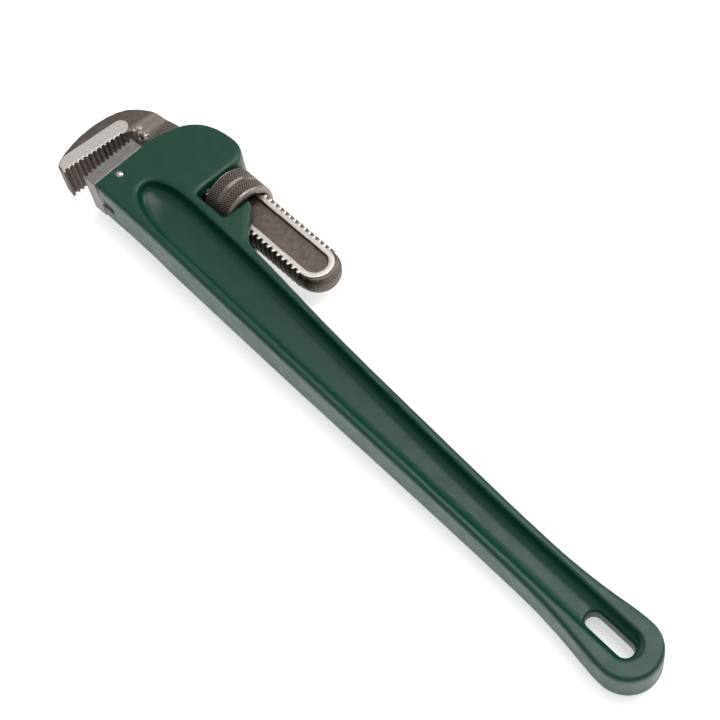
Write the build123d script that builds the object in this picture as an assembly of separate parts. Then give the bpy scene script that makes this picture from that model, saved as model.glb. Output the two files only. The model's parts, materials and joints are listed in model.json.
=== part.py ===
from build123d import *
import os
from math import radians, tan

# Heavy straight-pattern pipe wrench, nominal 24 inch, drawn lying on its side.
# Drawing frame, mm: X = 0 at the tail and the head at -X, Y = 0 on the handle's axis with the
# hook jaw's shank at +Y, Z = 0 on the mid-plane. The last section moves everything so that the
# origin lies at the centre of the bounding box's bottom face.

# Driving dimensions
TAIL_HALF_THICKNESS = 12.0
HEAD_HALF_THICKNESS = 17.2
TAPER_START_X = -50.0          # the handle is parallel from here to the tail
TAPER_END_X = -405.0           # and full head thickness from here forward
WEB_HALF_THICKNESS = 4.5
EDGE_RADIUS = 2.6
ROUNDED_FROM_X = -490.4        # the outer edges are rounded from here to the tail
CHANNEL_RADIUS = 7.2           # between the recess's walls and its floor
CHANNEL_TAIL_HALF_WIDTH = 9.6
CHANNEL_END_X = -12.3
TAIL_RADIUS = 20.2
HANG_HOLE_HALF_WIDTH = 5.3
HANG_HOLE_X = (-49.5, -16.2)

SHANK_ANGLE = 1.1              # degrees between the shank's axis and the handle's axis
AXIS_X, AXIS_Y = -417.0, 46.6  # a point on the shank's axis, at the middle of the nut
PITCH = 5.0
THREAD_MEAN_RADIUS = 15.4
THREAD_WAVE = 0.8              # the round thread is an eccentric circle twisted along the axis
THREAD_CLEARANCE = 0.25
SHANK_HALF_THICKNESS = 8.0
SHANK_END = 96.0               # from the middle of the nut to the end of the shank
THREAD_START = -36.0
FRONT_HALF_WIDTH = 12.6
RECESS_HALF_WIDTH = 8.5
RECESS_DEPTH = 2.6

NUT_RADIUS = 20.3
NUT_FRONT, NUT_REAR = -13.0, 12.0
NUT_GROOVE = (-3.6, 1.8)
NUT_GROOVE_RADIUS = 19.0
WINDOW_FRONT, WINDOW_REAR = -17.0, 13.2
WINDOW_NEAR_Y = 25.3

HEEL_ANGLE = 4.0               # the heel jaw's seat leans forward by this much towards the shank
HEEL_SEAT_X = -491.5
HEEL_LENGTH_Y = (-18.9, 24.3)
HEEL_DEPTH = 12.0
HEEL_HALF_WIDTH = 16.8
TOOTH_PITCH = 3.75
TOOTH_DEPTH = 2.1
TONGUE_HALF_THICKNESS = 4.0
TONGUE_DEPTH = 15.5
TONGUE_ENDS = (0.6, 6.0)       # how far it stops short of the jaw's two ends
PIN_RADIUS = 2.75
PIN_DOME_RISE = 1.4
PIN_POINT = (-484.5, -1.0)
SEAT_GAP = 0.05

HOOK_HALF_THICKNESS = 13.0
HOOK_FACE_X = -516.9           # the hook jaw's tooth line, at Y = 0
HOOK_FACE_ANGLE = -3.2
HOOK_TEETH = 13
HOOK_FIRST_TOOTH = -24.6
HOOK_NECK_Y = (-14.0, 10.8)    # the front shank's edges at the hook, from the shank's axis

PASSAGE_HALF_THICKNESS = 8.7
PASSAGE_NEAR, PASSAGE_FAR = -19.4, 17.0   # walls of the shank's passage, from the shank's axis
SADDLE_DEPTH = -17.4

SPRING_WIRE = 0.6
SPRING_COIL_RADIUS = 3.1
SPRING_TURNS = 5
COIL_POCKET = (-50.0, 3.9, 9.0)           # along the shank's axis, radius, depth
LEAF_FRONT, LEAF_REAR = -56.0, -20.5
LEAF_HALF_WIDTH = 4.2
LEAF_THICKNESS = 0.7
RIVET_AT = -25.0
RIVET_RADIUS = 1.6

shank_frame = Location((AXIS_X, AXIS_Y, 0), (0, 0, SHANK_ANGLE))


def on_shank(shape):
    """Place a shape drawn with the shank's axis on X and the nut's middle at the origin."""
    return shank_frame * shape


def rod(radius, start, end):
    """A round bar along X."""
    bar = Cylinder(radius, end - start, rotation=(0, 90, 0))
    return Pos((start + end) / 2, 0, 0) * bar


def block(x, y, z):
    """A box from three (low, high) pairs."""
    size = [b - a for a, b in (x, y, z)]
    middle = [(a + b) / 2 for a, b in (x, y, z)]
    return Pos(*middle) * Box(*size)


def plate(outline, half_thickness):
    """An outline on the mid-plane, thickened both ways."""
    return extrude(make_face(outline), half_thickness, both=True)


def thread_form(mean_radius, start, end):
    """A round-profile screw: an eccentric circle twisted along X by one turn per pitch."""
    length = end - start
    profile = Pos(THREAD_WAVE, 0, 0) * Circle(mean_radius)
    screw = Solid.extrude_linear_with_rotation(
        profile.face(), center=(0, 0, 0), normal=(0, 0, length), angle=-360 * length / PITCH)
    phase = -360 * start / PITCH
    return Pos(start, 0, 0) * (Rot(phase, 0, 0) * (Rot(0, 90, 0) * screw))


def handle_outline():
    """The casting seen from the side: front seat, shank housing, saddle, handle and tail."""
    front_near = (HEEL_SEAT_X + 18.9 * tan(radians(HEEL_ANGLE)), -18.9)
    front_far = (HEEL_SEAT_X - 25.6 * tan(radians(HEEL_ANGLE)), 25.6)
    step = (-495.6, 25.6)
    shoulder = (-490.2, 52.0)
    housing = Spline(shoulder, (-477.5, 66.8), (-457.0, 72.6), (-443.5, 71.6), (-436.0, 66.0),
                     (-433.0, 57.0))
    housing_base = (-402.0, 47.0)
    crook = (-374.0, 24.6)
    neck, tail_side = (-92.0, 14.9), (-TAIL_RADIUS, TAIL_RADIUS)
    bulge = (-42.0, 18.2)
    tail_tip = (0.0, 0.0)
    return Wire([
        Line(front_near, front_far),
        Line(front_far, step),
        ThreePointArc(step, (-494.0, 39.5), shoulder),
        housing,
        Line(housing @ 1, housing_base),
        Spline(housing_base, (-388.0, 35.0), crook, tangents=[(1, -0.6), (1, -0.25)]),
        Spline(crook, (-307, 20.7), (-190, 16.6), neck, tangents=[(1, -0.04), (1, 0)]),
        Spline(neck, bulge, tail_side, tangents=[(1, 0), (1, 0)]),
        ThreePointArc(tail_side, tail_tip, (tail_side[0], -tail_side[1])),
        Spline((tail_side[0], -tail_side[1]), (bulge[0], -bulge[1]), (neck[0], -neck[1]),
               tangents=[(-1, 0), (-1, 0)]),
        Spline((neck[0], -neck[1]), (-268, -16.7), (-418, -17.6), front_near,
               tangents=[(-1, 0), (-1, -0.05)]),
    ])


def side_profile():
    """The casting's thickness, seen along Y: full at the head, tapering to the tail."""
    corners = [(5, TAIL_HALF_THICKNESS), (TAPER_START_X, TAIL_HALF_THICKNESS),
               (TAPER_END_X, HEAD_HALF_THICKNESS), (-510, HEAD_HALF_THICKNESS)]
    below = [(x, -z) for x, z in reversed(corners)]
    face = make_face(Plane.XZ * Polyline(*corners, *below, close=True))
    return extrude(face, 120, both=True)


def channel_outline():
    """The recess in each face of the handle, from behind the heel jaw to round the hang hole."""
    half = CHANNEL_TAIL_HALF_WIDTH
    near = [(-440, -9.6), (-400, -11.3), (-268, -11.1), (-150, -10.1), (-60, -half)]
    far = [(-60, half), (-120, 9.5), (-200, 11.4), (-295, 15.4), (-430, 18.9)]
    head = (-466.0, 3.0)
    tip = CHANNEL_END_X
    tip_near, tip_far = (tip - half, -half), (tip - half, half)
    return Wire([
        Spline(*near, tangents=[(1, -0.15), (1, 0)]),
        Line(near[-1], tip_near),
        ThreePointArc(tip_near, (tip, 0), tip_far),
        Line(tip_far, far[0]),
        Spline(*far, tangents=[(-1, 0), (-1, 0.0)]),
        Spline(far[-1], head, near[0], tangents=[(-1, 0.0), (1, -0.15)]),
    ])


def channel(side):
    """One recess as a cutter with drafted walls and a rounded floor; side is +1 or -1."""
    floor = Pos(0, 0, WEB_HALF_THICKNESS) * make_face(channel_outline())
    cutter = extrude(floor, 16, dir=(0, 0, 1))
    rim = cutter.edges().group_by(Axis.Z)[0]
    cutter = fillet(rim, CHANNEL_RADIUS)
    return cutter if side > 0 else mirror(cutter, about=Plane.XY)


def hang_hole():
    """The long hole with round ends through the floor of the recess, near the tail."""
    start, end = HANG_HOLE_X
    half = HANG_HOLE_HALF_WIDTH
    slot = block((start + half, end - half), (-half, half), (-20, 20))
    for x in (start + half, end - half):
        slot += Pos(x, 0, 0) * Cylinder(half, 40)
    return slot


def make_handle():
    """The one-piece cast handle and housing."""
    body = plate(handle_outline(), 20) & side_profile()
    edges = [e for e in body.edges() if abs(e.center().Z) > 5 and e.center().X > ROUNDED_FROM_X]
    body = fillet(edges, EDGE_RADIUS)
    for side in (1, -1):
        body -= channel(side)
    body -= hang_hole()
    body -= on_shank(nut_window())
    body -= on_shank(shank_passage())
    body -= tongue(SEAT_GAP)
    body -= pin_bar(PIN_RADIUS, 30)
    body -= on_shank(spring_seats())
    return body


def nut_window():
    """Opens the housing round the nut, from the handle's edge out past the shank."""
    near = WINDOW_NEAR_Y - AXIS_Y
    return block((WINDOW_FRONT, WINDOW_REAR), (near, 40), (-25, 25))


def shank_passage():
    """The slot through the housing for the shank, and the groove in the saddle behind the nut."""
    half = PASSAGE_HALF_THICKNESS
    front = block((-90, WINDOW_FRONT + 1), (PASSAGE_NEAR, PASSAGE_FAR), (-half, half))
    saddle = block((WINDOW_REAR - 1, 60), (SADDLE_DEPTH, 40), (-half, half))
    return front + saddle


def on_seat(shape):
    """Place a shape drawn with the heel jaw's seat on the plane X = 0 and Y from its middle."""
    return Pos(HEEL_SEAT_X, 0, 0) * (Rot(0, 0, HEEL_ANGLE) * shape)


def tongue(clearance):
    """The heel jaw's tongue; with clearance, the slot for it, which opens in the near wall."""
    half = TONGUE_HALF_THICKNESS + clearance
    through_wall = 10 * clearance
    low = HEEL_LENGTH_Y[0] + TONGUE_ENDS[0] - through_wall
    high = HEEL_LENGTH_Y[1] - TONGUE_ENDS[1] + clearance
    return on_seat(block((-1, TONGUE_DEPTH + clearance), (low, high), (-half, half)))


def pin_bar(radius, half_length):
    """A bar across the housing on the heel jaw pin's axis."""
    return Pos(*PIN_POINT, 0) * Cylinder(radius, 2 * half_length)


def make_heel_jaw():
    """The replaceable toothed insert with its tongue."""
    low, high = HEEL_LENGTH_Y
    half = HEEL_HALF_WIDTH
    body = on_seat(block((-HEEL_DEPTH, -SEAT_GAP), (low, high), (-half, half)))
    body += tongue(0)
    count = int((high - low - 1.2) / TOOTH_PITCH)
    first = high - 0.9 - count * TOOTH_PITCH
    body -= on_seat(tooth_grooves(-HEEL_DEPTH, first, count, 1))
    return body - pin_bar(PIN_RADIUS + SEAT_GAP, 30)


def tooth_grooves(face_x, start, count, inward):
    """Saw-tooth grooves across a jaw face at X = face_x, cut towards inward."""
    grooves = []
    for k in range(count):
        y = start + k * TOOTH_PITCH
        corners = [(face_x - 2 * inward, y + 0.35), (face_x, y + 0.35),
                   (face_x + TOOTH_DEPTH * inward, y + 0.95),
                   (face_x + TOOTH_DEPTH * inward, y + 1.55),
                   (face_x, y + TOOTH_PITCH - 0.45), (face_x - 2 * inward, y + TOOTH_PITCH - 0.45)]
        grooves.append(plate(Polyline(*corners, close=True), 25))
    return Part() + grooves


def make_heel_pin():
    """The round pin that holds the heel jaw, with a domed head standing on each face."""
    bar = pin_bar(PIN_RADIUS, HEAD_HALF_THICKNESS)
    base_radius = PIN_RADIUS - 0.05
    dome_radius = (base_radius ** 2 + PIN_DOME_RISE ** 2) / (2 * PIN_DOME_RISE)
    for side in (1, -1):
        centre_z = side * (HEAD_HALF_THICKNESS + PIN_DOME_RISE - dome_radius)
        dome = Pos(*PIN_POINT, centre_z) * Sphere(dome_radius)
        slab = block((-600, 0), (-100, 100), sorted((side * HEAD_HALF_THICKNESS, side * 25)))
        bar += dome & slab
    return bar


def hook_outline():
    """The hook jaw's head seen from the side, joined to the smooth front of the shank."""
    near, far = AXIS_Y + HOOK_NECK_Y[0], AXIS_Y + HOOK_NECK_Y[1]
    neck_x, throat_x = -485.0, -504.0
    tip_y, root_y = -23.2, 24.5
    tip_near, tip_back = (tooth_line(tip_y), tip_y), (-526.4, -26.0)
    front = (tip_near[0] + 0.6, -26.4)
    root = (tooth_line(root_y), root_y)
    back = Spline((neck_x, far), (throat_x, far - 2.0), (-519.5, 48.8), (-533.0, 37.0),
                  (-539.3, 17.0), (-536.8, -3.0), (-530.8, -19.0), tip_back,
                  tangents=[(-1, 0), (0.75, -1)])
    throat = Spline(root, (-511.8, 31.2), (throat_x, near), tangents=[(0.25, 1), (1, 0)])
    return Wire([
        back,
        Line(tip_back, front),
        Line(front, tip_near),
        Line(tip_near, root),
        throat,
        Line((throat_x, near), (neck_x, near)),
        Line((neck_x, near), (neck_x, far)),
    ])


def tooth_line(y):
    """X of the hook's tooth line at Y = y."""
    return HOOK_FACE_X - tan(radians(HOOK_FACE_ANGLE)) * y


def hook_side_profile():
    """The hook's thickness, seen along Y: full at the teeth, thinner where it meets the shank."""
    full, thin, crown = HOOK_HALF_THICKNESS, SHANK_HALF_THICKNESS, HOOK_HALF_THICKNESS - 4.5
    back, crest, brow, neck, end = -545.0, -528.5, -518.0, -505.0, -480.0
    upper_half = make_face(Wire([
        Spline((back, crown), (crest, full), tangents=[(1, 0.6), (1, 0)]),
        Line((crest, full), (brow, full)),
        Spline((brow, full), (neck, thin), tangents=[(1, 0), (1, 0)]),
        Line((neck, thin), (end, thin)),
        Line((end, thin), (end, 0)),
        Line((end, 0), (back, 0)),
        Line((back, 0), (back, crown)),
    ]))
    slab = extrude(Plane.XZ * upper_half, 120, both=True)
    return slab + mirror(slab, about=Plane.XY)


def make_hook_jaw():
    """The movable jaw: toothed hook, smooth front shank, threaded shank with relieved faces."""
    head = plate(hook_outline(), HOOK_HALF_THICKNESS) & hook_side_profile()
    grooves = tooth_grooves(0, HOOK_FIRST_TOOTH, HOOK_TEETH, -1)
    head -= Pos(HOOK_FACE_X, 0, 0) * (Rot(0, 0, HOOK_FACE_ANGLE) * grooves)
    front = block((-74, THREAD_START), (-FRONT_HALF_WIDTH, FRONT_HALF_WIDTH),
                  (-SHANK_HALF_THICKNESS, SHANK_HALF_THICKNESS))
    end_middle = SHANK_END - THREAD_MEAN_RADIUS
    thread = thread_form(THREAD_MEAN_RADIUS, THREAD_START, end_middle)
    slab = block((-100, 100), (-30, 30), (-SHANK_HALF_THICKNESS, SHANK_HALF_THICKNESS))
    end = Pos(end_middle, 0, 0) * Sphere(THREAD_MEAN_RADIUS)
    shank = front + (thread & slab) + (end & slab)
    for side in (1, -1):
        shank -= shank_recess(side)
    return head + on_shank(shank)


def shank_recess(side):
    """The shallow relieved panel with a round end on each flat of the shank."""
    half, start, end = RECESS_HALF_WIDTH, THREAD_START + 4, SHANK_END - RECESS_HALF_WIDTH
    panel = block((start, end - half), (-half, half), (0, 8))
    panel += Pos(end - half, 0, 4) * Cylinder(half, 8)
    panel = Pos(0, 0, SHANK_HALF_THICKNESS - RECESS_DEPTH) * panel
    return panel if side > 0 else mirror(panel, about=Plane.XY)


def make_nut():
    """The adjusting nut: two plain bands to be knurled, a groove, bevelled ends, screw bore."""
    groove_front, groove_rear = NUT_GROOVE
    r, g = NUT_RADIUS, NUT_GROOVE_RADIUS
    half_profile = Polyline(
        (NUT_FRONT, 0), (NUT_FRONT, r - 1.2), (NUT_FRONT + 1.2, r),
        (groove_front - 0.8, r), (groove_front, g), (groove_rear, g), (groove_rear + 0.8, r),
        (NUT_REAR - 3.0, r), (NUT_REAR - 0.6, r - 2.0), (NUT_REAR, r - 3.2), (NUT_REAR, 0), close=True)
    blank = revolve(make_face(half_profile), Axis.X)
    screw = thread_form(THREAD_MEAN_RADIUS + THREAD_CLEARANCE, NUT_FRONT - 2.0, NUT_REAR + 2.0)
    return blank - screw


def leaf_path(offset_y):
    """The leaf spring's line, from the rivet to its free end on the coil spring."""
    base = PASSAGE_NEAR + offset_y
    return [(LEAF_REAR, base), (LEAF_FRONT + 22, base), (LEAF_FRONT + 8, base + 2.1),
            (LEAF_FRONT, base + 1.5)]


def make_leaf_spring():
    """The flat spring riveted to the passage wall; its free end bears on the shank."""
    lower, upper = leaf_path(0.05), leaf_path(0.05 + LEAF_THICKNESS)
    strip = plate(Polyline(*lower, *reversed(upper), close=True), LEAF_HALF_WIDTH)
    return on_shank(strip - rivet_bar(RIVET_RADIUS + 0.05, PASSAGE_NEAR - 20, PASSAGE_NEAR + 20))


def rivet_bar(radius, low, high):
    """A bar along Y on the rivet's axis."""
    bar = Rot(90, 0, 0) * Cylinder(radius, high - low)
    return Pos(RIVET_AT, (low + high) / 2, 0) * bar


def make_rivet():
    """Holds the leaf spring to the housing, with a low head over the strip."""
    top = PASSAGE_NEAR + 0.05 + LEAF_THICKNESS
    shaft = rivet_bar(RIVET_RADIUS, PASSAGE_NEAR - 7, top + 0.1)
    head = rivet_bar(RIVET_RADIUS + 1.1, top + 0.02, top + 0.75)
    return on_shank(shaft + head)


def make_coil_spring():
    """The small compression spring under the leaf spring's free end."""
    at, _, depth = COIL_POCKET
    height = depth + 0.35 - 2 * SPRING_WIRE
    helix = Helix(pitch=height / SPRING_TURNS, height=height, radius=SPRING_COIL_RADIUS)
    section = Plane(origin=helix @ 0, z_dir=helix % 0) * Circle(SPRING_WIRE)
    coil = sweep(section, path=helix)
    coil = Rot(-90, 0, 0) * coil
    return on_shank(Pos(at, PASSAGE_NEAR - depth + SPRING_WIRE + 0.1, 0) * coil)


def spring_seats():
    """The coil spring's blind pocket and the rivet's hole in the near wall of the passage."""
    at, radius, depth = COIL_POCKET
    pocket = Rot(90, 0, 0) * Cylinder(radius, depth + 4)
    pocket = Pos(at, PASSAGE_NEAR - depth / 2 + 2, 0) * pocket
    return pocket + rivet_bar(RIVET_RADIUS + 0.05, PASSAGE_NEAR - 7, PASSAGE_NEAR + 3)


def main():
    parts = {
        "handle": make_handle(),
        "heel_jaw": make_heel_jaw(),
        "heel_jaw_pin": make_heel_pin(),
        "hook_jaw": make_hook_jaw(),
        "adjusting_nut": on_shank(make_nut()),
        "leaf_spring": make_leaf_spring(),
        "leaf_spring_rivet": make_rivet(),
        "coil_spring": make_coil_spring(),
    }
    whole = Compound(children=[p.moved(Location()) for p in parts.values()]).bounding_box()
    shift = Vector(-(whole.min.X + whole.max.X) / 2, -(whole.min.Y + whole.max.Y) / 2, -whole.min.Z)
    os.makedirs("parts", exist_ok=True)
    for name, shape in parts.items():
        placed = Pos(shift) * shape
        export_step(placed, f"parts/{name}.step")
        print(name, len(placed.solids()), round(placed.volume), placed.is_valid)
    print("shift", shift, "size", whole.size)


main()
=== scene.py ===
import json
from math import asin, cos, hypot, pi, radians, sin, sqrt, tanh

import bpy
from mathutils import Matrix, Vector


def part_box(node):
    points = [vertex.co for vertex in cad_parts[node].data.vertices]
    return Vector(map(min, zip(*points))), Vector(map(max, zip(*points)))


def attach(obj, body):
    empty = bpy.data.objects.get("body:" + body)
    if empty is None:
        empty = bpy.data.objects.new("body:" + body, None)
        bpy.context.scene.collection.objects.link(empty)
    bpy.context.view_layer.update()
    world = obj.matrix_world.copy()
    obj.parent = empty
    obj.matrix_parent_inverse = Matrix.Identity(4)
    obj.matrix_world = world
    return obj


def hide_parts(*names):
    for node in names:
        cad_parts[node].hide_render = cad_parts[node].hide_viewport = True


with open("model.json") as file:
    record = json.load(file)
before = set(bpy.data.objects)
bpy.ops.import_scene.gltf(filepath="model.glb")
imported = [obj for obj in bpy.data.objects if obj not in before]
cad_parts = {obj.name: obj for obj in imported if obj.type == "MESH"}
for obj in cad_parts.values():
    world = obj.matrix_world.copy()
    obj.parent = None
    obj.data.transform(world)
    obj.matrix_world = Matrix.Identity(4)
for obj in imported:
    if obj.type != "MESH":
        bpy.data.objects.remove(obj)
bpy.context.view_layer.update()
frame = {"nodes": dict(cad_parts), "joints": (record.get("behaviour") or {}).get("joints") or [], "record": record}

MM = 0.001

# Places on the wrench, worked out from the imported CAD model. The shank's axis is the nut's axis.
MID_HEIGHT = sum(corner.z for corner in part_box("handle")) / 2
NUT_JOINT = next(joint for joint in frame["joints"] if joint["name"] == "nut_spin")
AXIS_POINT = Vector(NUT_JOINT["pos_m"])
TO_TAIL = -Vector(NUT_JOINT["axis"]).normalized()
ACROSS = Vector((-TO_TAIL.y, TO_TAIL.x, 0))
NUT_PLACE = Vector((-417.0, 46.6, 0)) * MM
SHIFT = AXIS_POINT - NUT_PLACE


def at(x, y, z=0.0):
    """A place in mm from the tail's end, the handle's axis and the mid-plane, in the row frame."""
    return Vector((x, y, z)) * MM + SHIFT


# --- camera -------------------------------------------------------------------------------------

CAMERA_AZIMUTH = 59.56
CAMERA_ELEVATION = 56.87
CAMERA_ROLL = -12.71
CAMERA_DISTANCE = 930.2 * MM
CAMERA_TARGET = Vector((4.6, -1.6, 20.3)) * MM
LENS, SENSOR = 75.0, 36.0


def add_camera():
    """Looks along +Y at azimuth 0, with +X to the right; roll turns the view about its axis."""
    azimuth, elevation = radians(CAMERA_AZIMUTH), radians(CAMERA_ELEVATION)
    back = Vector((sin(azimuth) * cos(elevation), -cos(azimuth) * cos(elevation), sin(elevation)))
    level = Vector((cos(azimuth), sin(azimuth), 0))
    upright = back.cross(level)
    roll = radians(CAMERA_ROLL)
    right = cos(roll) * level + sin(roll) * upright
    up = back.cross(right)
    data = bpy.data.cameras.new("camera")
    data.lens, data.sensor_width = LENS, SENSOR
    data.clip_start, data.clip_end = 0.05, 20
    camera = bpy.data.objects.new("camera", data)
    bpy.context.scene.collection.objects.link(camera)
    place = Matrix((right, up, back)).transposed().to_4x4()
    place.translation = CAMERA_TARGET + CAMERA_DISTANCE * back
    camera.matrix_world = place
    bpy.context.scene.camera = camera


# --- the nut ------------------------------------------------------------------------------------

# Turned and knurled. Ends and bands are distances along its axis from the axis point to the tail.
NUT_RADIUS = 20.25 * MM
NUT_ENDS = (-13 * MM, 12 * MM)
KNURL_BANDS = ((-12.0 * MM, -3.4 * MM), (1.4 * MM, 9.6 * MM))
GROOVE_RADIUS = 19.3 * MM
COLLAR_RADIUS = 17.6 * MM
KNURLS_ROUND = 74
KNURL_STEPS = 8
KNURL_DEPTH = 0.6 * MM
ROW_STEP = 0.22 * MM
BORE_RADIUS = 15.65 * MM
BORE_STEP = 0.8 * MM

# --- materials ----------------------------------------------------------------------------------


def srgb(red, green, blue):
    """A colour given as 0 to 255 in sRGB, as the linear colour that shaders take."""
    linear = []
    for level in (red / 255, green / 255, blue / 255):
        linear.append(level / 12.92 if level <= 0.04045 else ((level + 0.055) / 1.055) ** 2.4)
    return (*linear, 1)


class Surface:
    """A material under construction: one Principled shader fed by patterns in metres."""

    def __init__(self, name, **constants):
        self.material = bpy.data.materials.new(name)
        self.material.use_nodes = True
        self.tree = self.material.node_tree
        self.shader = self.tree.nodes["Principled BSDF"]
        for socket, value in constants.items():
            self.shader.inputs[socket.replace("_", " ")].default_value = value
        self.place = self.node("ShaderNodeTexCoord").outputs["Object"]

    def node(self, kind, inputs=None, **settings):
        made = self.tree.nodes.new(kind)
        for key, value in settings.items():
            setattr(made, key, value)
        for key, value in (inputs or {}).items():
            self.feed(made.inputs[key], value)
        return made

    def feed(self, socket, value):
        if isinstance(value, bpy.types.NodeSocket):
            self.tree.links.new(value, socket)
        else:
            socket.default_value = value

    def math(self, operation, *values):
        made = self.node("ShaderNodeMath", operation=operation)
        for index, value in enumerate(values):
            self.feed(made.inputs[index], value)
        return made.outputs[0]

    def noise(self, size, detail=3.0, roughness=0.5, place=None):
        """Cloudy noise from 0 to 1 whose spots are about size metres across."""
        inputs = {"Vector": place or self.place, "Scale": 1 / size, "Detail": detail,
                  "Roughness": roughness}
        return self.node("ShaderNodeTexNoise", inputs).outputs["Fac"]

    def stretched(self, scale):
        return self.node("ShaderNodeVectorMath", {0: self.place, 1: scale},
                         operation="MULTIPLY").outputs[0]

    def steps(self, value, low, high, to_low=0.0, to_high=1.0):
        """value from low to high, eased, as to_low to to_high."""
        inputs = {"Value": value, "From Min": low, "From Max": high, "To Min": to_low,
                  "To Max": to_high}
        return self.node("ShaderNodeMapRange", inputs,
                         interpolation_type="SMOOTHSTEP").outputs["Result"]

    def blend(self, share, first, second):
        made = self.node("ShaderNodeMix", data_type="RGBA")
        self.feed(made.inputs["Factor"], share)
        self.feed(made.inputs[6], first)
        self.feed(made.inputs[7], second)
        return made.outputs[2]

    def mix(self, share, first, second):
        made = self.node("ShaderNodeMix", data_type="FLOAT")
        self.feed(made.inputs[0], share)
        self.feed(made.inputs[2], first)
        self.feed(made.inputs[3], second)
        return made.outputs[0]

    def colour(self, value):
        self.feed(self.shader.inputs["Base Color"], value)

    def roughness(self, value):
        self.feed(self.shader.inputs["Roughness"], value)

    def metallic(self, value):
        self.feed(self.shader.inputs["Metallic"], value)

    def bump(self, *layers):
        """layers are (height from 0 to 1, depth in metres, strength), coarsest first."""
        normal = None
        for height, depth, strength in layers:
            inputs = {"Height": height, "Distance": depth, "Strength": strength}
            if normal is not None:
                inputs["Normal"] = normal
            normal = self.node("ShaderNodeBump", inputs).outputs["Normal"]
        self.tree.links.new(normal, self.shader.inputs["Normal"])

    def near(self, point, reach):
        """1 at a point, falling to 0 at the distance reach."""
        apart = self.node("ShaderNodeVectorMath", {0: self.place, 1: tuple(point)},
                          operation="DISTANCE").outputs["Value"]
        return self.steps(apart, 0.3 * reach, reach, 1, 0)

    def along(self, point, direction):
        """Metres from a point along a direction, at each place of the surface."""
        offset = self.node("ShaderNodeVectorMath", {0: self.place, 1: tuple(point)},
                           operation="SUBTRACT").outputs[0]
        return self.node("ShaderNodeVectorMath", {0: offset, 1: tuple(direction)},
                         operation="DOT_PRODUCT").outputs["Value"]


# Where the painted shade inside the jaw's slot lies, in the handle's near wall.
SLOT_HALF_HEIGHT = 4.4 * MM
SLOT_EDGE_HEIGHT = 5 * MM
SLOT_REAR = at(-474, 0)
SLOT_DEPTH = 8 * MM


def green_paint():
    """Satin powder coat, a fine orange peel over an even dark green; painted shade darkens the inside of the jaw's
    slot.
    """
    paint = Surface("green powder coat", IOR=1.5)
    cloud = paint.noise(60 * MM, detail=2)
    fleck = paint.noise(0.5 * MM, detail=2)
    tone = paint.blend(cloud, srgb(2, 60, 41), srgb(6, 67, 47))
    tone = paint.blend(paint.steps(fleck, 0.55, 0.8, 0, 0.3), tone, srgb(18, 82, 60))
    height = paint.math("ABSOLUTE", paint.along((0, 0, MID_HEIGHT), (0, 0, 1)))
    ahead_of_rear = paint.steps(paint.along(SLOT_REAR, (1, 0, 0)), -1 * MM, 0, 1, 0)
    near_wall = paint.steps(paint.along(at(0, 0), (0, 1, 0)), 0, SLOT_DEPTH, 1, 0)
    # Painted shade: the inside of the slot is coloured near black, standing in for the shade in the recess.
    slot_shade = paint.math("MULTIPLY", ahead_of_rear,
                      paint.steps(height, SLOT_HALF_HEIGHT, SLOT_EDGE_HEIGHT, 1, 0))
    slot_shade = paint.math("MULTIPLY", slot_shade, near_wall)
    paint.colour(paint.blend(slot_shade, tone, srgb(14, 16, 15)))
    peel = paint.noise(1.6 * MM, detail=1)
    paint.roughness(paint.steps(paint.noise(9 * MM), 0.3, 0.7, 0.33, 0.42))
    paint.bump((paint.noise(30 * MM, detail=1), 1.0 * MM, 0.06), (peel, 0.1 * MM, 0.3),
               (fleck, 0.03 * MM, 0.35))
    return paint.material


def steel_layers(surface, share, ground, dark, grain):
    """Blends bright ground steel into dark rough steel where share is 1."""
    brushed = surface.noise(1.0, detail=4, place=surface.stretched((160, 2400, 900)))
    mottled = surface.noise(3.5 * MM, detail=5, roughness=0.65)
    bright = surface.blend(brushed, ground, srgb(244, 241, 237))
    rough_colour = surface.blend(surface.steps(mottled, 0.3, 0.75), dark, srgb(128, 116, 108))
    surface.colour(surface.blend(share, rough_colour, bright))
    surface.roughness(surface.mix(share, surface.steps(mottled, 0.3, 0.7, 0.42, 0.56),
                                  surface.steps(brushed, 0.3, 0.7, 0.26, 0.4)))
    surface.metallic(surface.mix(share, 0.72, 0.8))
    dull = surface.math("SUBTRACT", 1.0, share)
    surface.bump((mottled, 0.35 * MM, surface.math("MULTIPLY", dull, 0.35)),
                 (surface.noise(grain, detail=2), 0.1 * MM, surface.math("MULTIPLY", dull, 0.5)),
                 (brushed, 0.02 * MM, surface.math("MULTIPLY", share, 0.35)))


GROUND_START, GROUND_END = at(-524.5, -32.0), at(-522.6, 25.2)
GROUND_HALF_WIDTH = 6.2 * MM
HOOK_TOP = (12.7 * MM, 12.92 * MM)
SHANK_HALF_THICKNESS = 8 * MM
SHANK_START = (-62 * MM, -58 * MM)
WORN_PLACE, WORN_REACH = at(-508.5, 31.0, 9), 9 * MM
# Where the thread's roots get painted shade: radii, distances across and heights from the shank's axis.
ROOT_SHADE_RADII = (14.4 * MM, 15.8 * MM)
ROOT_SHADE_ACROSS = (11.5 * MM, 12 * MM)
ROOT_SHADE_HEIGHTS = (7.2 * MM, 7.7 * MM)


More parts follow.
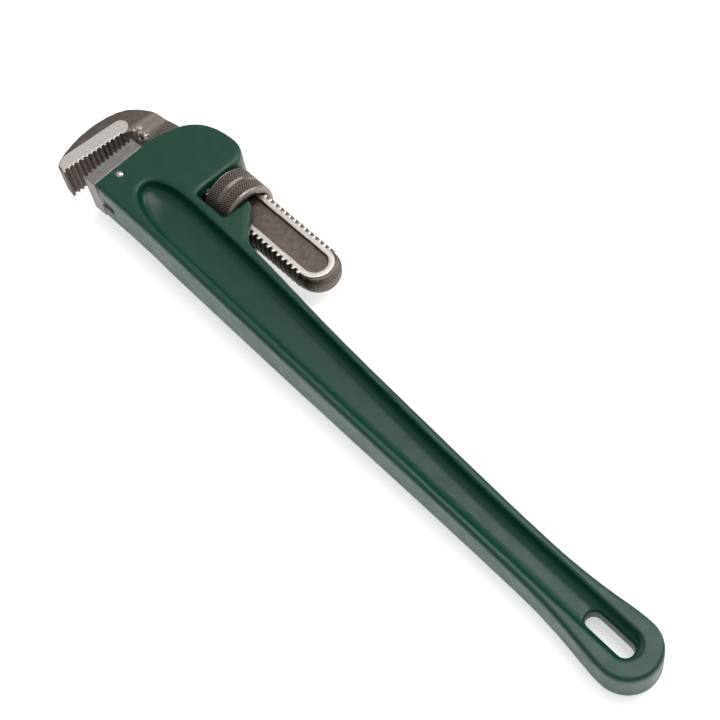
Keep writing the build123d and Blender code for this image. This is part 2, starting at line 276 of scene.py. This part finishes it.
def hook_steel():
    """Dark forged steel, ground bright beside the teeth and round the panel, with painted shade darkening the
    thread's roots.
    """
    steel = Surface("hook steel")
    height = steel.math("ABSOLUTE", steel.along((0, 0, MID_HEIGHT), (0, 0, 1)))
    run = (GROUND_END - GROUND_START).normalized()
    side = Vector((-run.y, run.x, 0))
    length = (GROUND_END - GROUND_START).length
    past = steel.along(GROUND_START, run)
    nearest = steel.math("MINIMUM", steel.math("MAXIMUM", past, 0.0), length)
    along = steel.math("SUBTRACT", past, nearest)
    aside = steel.along(GROUND_START, side)
    reach = steel.math("SQRT", steel.math("ADD", steel.math("POWER", along, 2.0),
                                          steel.math("POWER", aside, 2.0)))
    strip = steel.steps(reach, GROUND_HALF_WIDTH - 0.3 * MM, GROUND_HALF_WIDTH + 0.3 * MM, 1, 0)
    strip = steel.math("MULTIPLY", strip, steel.steps(height, *HOOK_TOP))
    border = steel.steps(height, SHANK_HALF_THICKNESS - 0.3 * MM, SHANK_HALF_THICKNESS - 0.08 * MM)
    on_shank = steel.steps(steel.along(AXIS_POINT, TO_TAIL), *SHANK_START)
    border = steel.math("MULTIPLY", border, on_shank)
    worn = steel.math("MULTIPLY", steel.near(WORN_PLACE, WORN_REACH),
                      steel.steps(steel.noise(2.2 * MM, detail=4), 0.5, 0.66))
    share = steel.math("MAXIMUM", steel.math("MAXIMUM", strip, border), worn)
    across = steel.math("ABSOLUTE", steel.along(AXIS_POINT, ACROSS))
    radius = steel.math("SQRT", steel.math("ADD", steel.math("POWER", height, 2.0),
                                           steel.math("POWER", across, 2.0)))
    # Painted shade: the thread's roots are coloured near black, standing in for the shade between the flanks.
    root = steel.math("MULTIPLY", steel.steps(radius, *ROOT_SHADE_RADII, 1, 0),
                      steel.steps(across, *ROOT_SHADE_ACROSS))
    root = steel.math("MULTIPLY", root, steel.steps(height, *ROOT_SHADE_HEIGHTS, 1, 0))
    forged_with_root_shade = steel.blend(root, srgb(98, 90, 86), srgb(26, 22, 20))
    steel_layers(steel, share, srgb(232, 222, 214), forged_with_root_shade, 0.7 * MM)
    return steel.material


# Where the heel jaw's tongue enters the handle; past this point it gets painted shade.
TONGUE_START = at(-487.5, -21)
INTO_HANDLE = Vector((cos(radians(4)), -sin(radians(4)), 0))


def heel_steel():
    """Grey machined steel with faint cutter marks; its tongue, inside the handle, is coloured near black as
    painted shade in the slot.
    """
    steel = Surface("heel jaw steel", Metallic=0.7)
    brushed = steel.noise(1.0, detail=4, place=steel.stretched((900, 160, 2200)))
    cloud = steel.noise(6 * MM, detail=4)
    tone = steel.blend(brushed, srgb(128, 124, 121), srgb(160, 156, 152))
    tone = steel.blend(steel.steps(cloud, 0.5, 0.8, 0, 0.4), tone, srgb(104, 98, 94))
    # Painted shade: past the slot's opening the tongue is coloured near black, standing in for the shade inside
    # the slot.
    tongue_shade = steel.steps(steel.along(TONGUE_START, INTO_HANDLE), 0, 0.6 * MM)
    steel.colour(steel.blend(tongue_shade, tone, srgb(22, 21, 20)))
    steel.roughness(steel.steps(brushed, 0.3, 0.7, 0.42, 0.54))
    steel.bump((cloud, 0.15 * MM, 0.2), (brushed, 0.02 * MM, 0.4))
    return steel.material


def nut_steel():
    """Knurled dark steel, rubbed brighter on the tips of the knurl and on the bare collar."""
    steel = Surface("nut steel")
    offset = steel.node("ShaderNodeVectorMath", {0: steel.place, 1: tuple(AXIS_POINT)},
                        operation="SUBTRACT").outputs[0]
    off_axis = steel.node("ShaderNodeVectorMath", {0: offset, 1: tuple(TO_TAIL)},
                          operation="CROSS_PRODUCT").outputs[0]
    radius = steel.node("ShaderNodeVectorMath", {0: off_axis}, operation="LENGTH").outputs["Value"]
    tips = steel.steps(radius, NUT_RADIUS - 0.4 * MM, NUT_RADIUS - 0.08 * MM)
    along = steel.along(AXIS_POINT, TO_TAIL)
    collar = steel.steps(along, KNURL_BANDS[1][1], KNURL_BANDS[1][1] + 0.5 * MM, 0, 0.6)
    past_front = steel.math("GREATER_THAN", along, KNURL_BANDS[0][1])
    groove = steel.math("MULTIPLY", past_front, steel.math("LESS_THAN", along, KNURL_BANDS[1][0]))
    groove = steel.math("MULTIPLY", groove, 0.4)
    worn = steel.math("MAXIMUM", steel.math("MAXIMUM", tips, collar), groove)
    cloud = steel.noise(5 * MM, detail=4)
    dark = steel.blend(cloud, srgb(44, 37, 34), srgb(66, 57, 53))
    steel.colour(steel.blend(worn, dark, srgb(178, 166, 158)))
    steel.roughness(steel.steps(cloud, 0.3, 0.7, 0.3, 0.42))
    steel.metallic(steel.mix(worn, 0.7, 0.9))
    steel.bump((steel.noise(0.6 * MM, detail=2), 0.04 * MM, 0.4))
    return steel.material


def bright_steel():
    """Polished pin head with fine turning marks."""
    steel = Surface("pin steel", Metallic=1.0)
    cloud = steel.noise(1.5 * MM, detail=3)
    steel.colour(steel.blend(cloud, srgb(205, 203, 200), srgb(236, 235, 232)))
    steel.roughness(steel.steps(cloud, 0.3, 0.7, 0.2, 0.3))
    steel.bump((steel.noise(0.8 * MM), 0.01 * MM, 0.2))
    return steel.material


def spring_steel():
    """Blued spring steel."""
    steel = Surface("spring steel", Metallic=0.9)
    cloud = steel.noise(4 * MM, detail=3)
    steel.colour(steel.blend(cloud, srgb(70, 74, 84), srgb(98, 98, 104)))
    steel.roughness(steel.steps(cloud, 0.3, 0.7, 0.28, 0.4))
    steel.bump((steel.noise(1.0, detail=3, place=steel.stretched((150, 2000, 2000))), 0.02 * MM, 0.3))
    return steel.material


# --- pieces -------------------------------------------------------------------------------------


def make_piece(name, mesh, node, material):
    """Puts a finished mesh in place of a CAD node, on that node's body."""
    mesh.materials.clear()
    mesh.materials.append(material)
    for polygon in mesh.polygons:
        polygon.use_smooth = True
    piece = bpy.data.objects.new(name, mesh)
    bpy.context.scene.collection.objects.link(piece)
    body = next(b for b, nodes in frame["record"]["behaviour"]["bodies"].items() if node in nodes)
    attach(piece, body)
    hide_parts(node)
    return piece


def rounded(piece_mesh, softness, passes):
    """Rounds a fine mesh further where softness(x, y, z), in mm as in at(), is above 0."""
    worker = bpy.data.objects.new("worker", piece_mesh)
    bpy.context.scene.collection.objects.link(worker)
    group = worker.vertex_groups.new(name="soft")
    for vertex in piece_mesh.vertices:
        place = (vertex.co - SHIFT) / MM
        weight = softness(place.x, place.y, place.z)
        if weight > 0:
            group.add([vertex.index], min(weight, 1.0), "REPLACE")
    smooth = worker.modifiers.new("smooth", "SMOOTH")
    smooth.factor, smooth.iterations, smooth.vertex_group = 0.5, passes, "soft"
    evaluated = worker.evaluated_get(bpy.context.evaluated_depsgraph_get())
    result = bpy.data.meshes.new_from_object(evaluated)
    bpy.data.objects.remove(worker)
    return result


def softened(node, voxel, passes):
    """A copy of a CAD node's mesh in even small faces, its edges rounded as on a casting."""
    mesh = frame["nodes"][node].data.copy()
    rough = bpy.data.objects.new("rough", mesh)
    bpy.context.scene.collection.objects.link(rough)
    remesh = rough.modifiers.new("remesh", "REMESH")
    remesh.mode, remesh.voxel_size, remesh.adaptivity = "VOXEL", voxel, 0
    smooth = rough.modifiers.new("smooth", "SMOOTH")
    smooth.factor, smooth.iterations = 0.5, passes
    evaluated = rough.evaluated_get(bpy.context.evaluated_depsgraph_get())
    result = bpy.data.meshes.new_from_object(evaluated)
    bpy.data.objects.remove(rough)
    return result


def handle_softness(x, y, z):
    """The housing's edges and the saddle behind the nut are rounder than the rest."""
    if x > -370 or abs(z) < 9.5:
        return 0.0
    window_edge = 1 - max(abs(x + 434) - 3, 0) / 4 if y > 26 else 0.0
    saddle = 1 - max(hypot(x + 399, y - 38) - 11, 0) / 4
    recess_head = 1 - max(hypot(x + 448, y - 5) - 26, 0) / 10 if y < 23 else 0.0
    return max(window_edge, saddle, recess_head, 0.0)


def add_handle(material):
    mesh = rounded(softened("handle", 1.0 * MM, 7), handle_softness, 26)
    return make_piece("handle_casting", mesh, "handle", material)


def hook_softness(x, y, z):
    """The throat is worn round, and so is the tip."""
    throat = 1 - max(hypot(x + 507.5, y - 35) - 9, 0) / 4
    tip = 1 - max(hypot(x + 525, y + 27) - 4, 0) / 3
    return max(throat, 0.6 * tip, 0.0)


# The shank, in distances along its axis from the axis point towards the tail, and from the axis.
SHANK_END_CENTRE = 79 * MM
GROUND_END_RADIUS = 12.5 * MM
LEDGE = 0.9 * MM
LEDGE_EDGE = 0.5 * MM
THREAD = (-34 * MM, SHANK_END_CENTRE)
THREAD_MEAN, THREAD_WAVE = 15.4 * MM, 0.8 * MM
ROOT_DEPTH = 1.5
INNER_RADIUS = 13.4 * MM
STEEPNESS = 2.4


def thread_radius(radius):
    """Turns the CAD thread's round wave into flat crests and deeper round roots."""
    wave = (radius - THREAD_MEAN) / THREAD_WAVE
    root = THREAD_MEAN - THREAD_WAVE
    if wave < -1:
        share = (radius - INNER_RADIUS) / (root - INNER_RADIUS)
        return radius - max(share, 0) * THREAD_WAVE * (ROOT_DEPTH - 1)
    steep = tanh(STEEPNESS * wave) / tanh(STEEPNESS)
    return THREAD_MEAN + THREAD_WAVE * steep * (ROOT_DEPTH if steep < 0 else 1)


def add_hook_jaw(material):
    """The hook and its shank, with cut thread flanks and a step down round the shank's end."""
    mesh = rounded(softened("hook_jaw", 0.55 * MM, 2), hook_softness, 60)
    for vertex in mesh.vertices:
        offset = vertex.co - AXIS_POINT
        along, across, height = offset.dot(TO_TAIL), offset.dot(ACROSS), offset.z
        radius = hypot(across, height)
        if THREAD[0] < along < THREAD[1] and INNER_RADIUS < radius < THREAD_MEAN + THREAD_WAVE:
            wanted = thread_radius(radius)
            moved = (sqrt(wanted ** 2 - height ** 2) - abs(across)) * (1 if across > 0 else -1)
            vertex.co += moved * ACROSS
        past = along - SHANK_END_CENTRE
        reach = hypot(past, across)
        if past > 0 and reach > GROUND_END_RADIUS and abs(height) > SHANK_HALF_THICKNESS / 2:
            share = min((reach - GROUND_END_RADIUS) / LEDGE_EDGE, 1)
            vertex.co.z -= (LEDGE if height > 0 else -LEDGE) * share
    return make_piece("hook_forging", mesh, "hook_jaw", material)


def add_heel_jaw(material):
    mesh = softened("heel_jaw", 0.4 * MM, 2)
    return make_piece("heel_block", mesh, "heel_jaw", material)


def nut_rows():
    """(along, radius, knurl share) down the outside of the nut, from the front to the rear."""
    (front_low, front_high), (rear_low, rear_high) = KNURL_BANDS
    rows = [(NUT_ENDS[0], BORE_RADIUS, 0), (NUT_ENDS[0], NUT_RADIUS - 1.2 * MM, 0),
            (NUT_ENDS[0] + 0.3 * MM, NUT_RADIUS - 0.7 * MM, 0), (front_low, NUT_RADIUS, 0)]

    def band(low, high):
        count = round((high - low) / ROW_STEP)
        for step in range(1, count):
            rows.append((low + (high - low) * step / count, NUT_RADIUS, 1))

    band(front_low, front_high)
    rows.extend([(front_high, NUT_RADIUS - 0.1 * MM, 0), (front_high + 0.35 * MM, GROOVE_RADIUS, 0),
                 (rear_low - 0.35 * MM, GROOVE_RADIUS, 0), (rear_low, NUT_RADIUS - 0.1 * MM, 0)])
    band(rear_low, rear_high)
    rows.extend([(rear_high, NUT_RADIUS, 0), (rear_high + 0.3 * MM, NUT_RADIUS - 0.2 * MM, 0)])
    for turn in range(1, 7):
        angle = turn / 6 * pi / 2
        depth = NUT_RADIUS - 0.2 * MM - COLLAR_RADIUS
        reach = NUT_ENDS[1] - rear_high - 0.3 * MM
        rows.append((rear_high + 0.3 * MM + reach * sin(angle),
                     COLLAR_RADIUS + depth * cos(angle), 0))
    rows.append((NUT_ENDS[1], BORE_RADIUS + 0.4 * MM, 0))
    return rows


def add_nut(material):
    """A closed ring of rows, with two sets of crossing grooves cut into the knurled ones."""
    round_count = KNURLS_ROUND * KNURL_STEPS
    rows = nut_rows()
    bore_count = round((NUT_ENDS[1] - NUT_ENDS[0]) / BORE_STEP)
    for step in range(1, bore_count):
        rows.append((NUT_ENDS[1] - (NUT_ENDS[1] - NUT_ENDS[0]) * step / bore_count, BORE_RADIUS, 0))
    pitch = 2 * pi * NUT_RADIUS / KNURLS_ROUND
    corners = []
    for along, radius, knurled in rows:
        centre = AXIS_POINT + along * TO_TAIL
        for index in range(round_count):
            reach = radius
            if knurled:
                lines = []
                for lean in (1, -1):
                    turn = (index / KNURL_STEPS + lean * along / pitch) % 1
                    lines.append(1 - abs(2 * turn - 1))
                reach -= KNURL_DEPTH * (1 - min(*lines, 0.85))
            angle = 2 * pi * index / round_count
            corners.append(centre + reach * (cos(angle) * ACROSS + sin(angle) * Vector((0, 0, 1))))
    faces = []
    count = len(rows)
    for row in range(count):
        start, after = row * round_count, (row + 1) % count * round_count
        for index in range(round_count):
            following = (index + 1) % round_count
            faces.append((start + index, start + following, after + following, after + index))
    mesh = bpy.data.meshes.new("nut")
    mesh.from_pydata(corners, [], faces)
    mesh.update()
    return make_piece("knurled_nut", mesh, "adjusting_nut", material)


PIN_RADIUS = 2.7 * MM
PIN_STEPS = 48
DOME_RINGS = 9


def add_pin(material):
    """The heel jaw's pin, turned with a low dome at each end."""
    low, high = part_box("heel_jaw_pin")
    centre = (low + high) / 2
    reach = (high.z - low.z) / 2
    cheek = (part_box("handle")[1].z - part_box("handle")[0].z) / 2
    rise = reach - cheek
    dome_radius = (PIN_RADIUS ** 2 + rise ** 2) / (2 * rise)
    spread = asin(PIN_RADIUS / dome_radius)
    rings = []
    for ring in range(1, DOME_RINGS + 1):
        angle = spread * ring / DOME_RINGS
        rings.append((dome_radius * sin(angle), reach - dome_radius * (1 - cos(angle))))
    rings.extend([(radius, -height) for radius, height in reversed(rings)])
    corners = [centre + Vector((0, 0, reach)), centre - Vector((0, 0, reach))]
    for radius, height in rings:
        for step in range(PIN_STEPS):
            angle = 2 * pi * step / PIN_STEPS
            corners.append(centre + Vector((radius * cos(angle), radius * sin(angle), height)))
    faces = []
    last = 2 + (len(rings) - 1) * PIN_STEPS
    for step in range(PIN_STEPS):
        following = (step + 1) % PIN_STEPS
        faces.append((0, 2 + step, 2 + following))
        faces.append((1, last + following, last + step))
        for ring in range(len(rings) - 1):
            start, after = 2 + ring * PIN_STEPS, 2 + (ring + 1) * PIN_STEPS
            faces.append((start + step, after + step, after + following, start + following))
    mesh = bpy.data.meshes.new("pin")
    mesh.from_pydata(corners, [], faces)
    mesh.update()
    return make_piece("domed_pin", mesh, "heel_jaw_pin", material)


# --- floor and light ----------------------------------------------------------------------------


def add_floor():
    """A pale table that the wrench lies on, touching the nut and the tail."""
    surface = Surface("table", Roughness=0.6, Emission_Color=(1, 1, 1, 1), Emission_Strength=0.55)
    tone = surface.noise(0.4, detail=2)
    surface.colour(surface.blend(tone, srgb(240, 240, 240), srgb(246, 246, 246)))
    half = 3.0
    mesh = bpy.data.meshes.new("table")
    mesh.from_pydata([(-half, -half, 0), (half, -half, 0), (half, half, 0), (-half, half, 0)], [],
                     [(0, 1, 2, 3)])
    mesh.materials.append(surface.material)
    floor = bpy.data.objects.new("table", mesh)
    bpy.context.scene.collection.objects.link(floor)
    tail_rise = 8.3 * MM
    nut_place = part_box("adjusting_nut")[0].x
    tail_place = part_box("handle")[1].x - 20 * MM
    tilt = tail_rise / (tail_place - nut_place)
    floor.location = (nut_place, 0, -0.2 * MM)
    floor.rotation_euler = (0, -tilt, 0)


def add_softbox(name, place, target, size, watts):
    data = bpy.data.lights.new(name, "AREA")
    data.shape, data.size, data.size_y, data.energy = "RECTANGLE", size[0], size[1], watts
    light = bpy.data.objects.new(name, data)
    light.location = place
    light.rotation_mode = "QUATERNION"
    light.rotation_quaternion = (Vector(target) - Vector(place)).to_track_quat("-Z", "Y")
    bpy.context.scene.collection.objects.link(light)


def add_light():
    world = bpy.data.worlds.new("studio")
    world.use_nodes = True
    background = world.node_tree.nodes["Background"]
    background.inputs["Color"].default_value = (1, 1, 1, 1)
    background.inputs["Strength"].default_value = 0.44
    bpy.context.scene.world = world
    add_softbox("overhead", (0.0, 0.42, 1.45), (0, 0, 0), (1.3, 0.9), 11.0)
    add_softbox("key", (0.3, 1.2, 0.9), (-0.05, 0, 0), (0.7, 0.5), 6.0)
    bpy.context.scene.view_settings.view_transform = "Standard"


# --- the scene ----------------------------------------------------------------------------------

add_camera()
add_handle(green_paint())
add_hook_jaw(hook_steel())
add_heel_jaw(heel_steel())
add_nut(nut_steel())
pin_finish, spring_finish = bright_steel(), spring_steel()
add_pin(pin_finish)
for node, finish in (("leaf_spring_rivet", pin_finish), ("leaf_spring", spring_finish),
                     ("coil_spring", spring_finish)):
    frame["nodes"][node].data.materials.clear()
    frame["nodes"][node].data.materials.append(finish)
add_floor()
add_light()
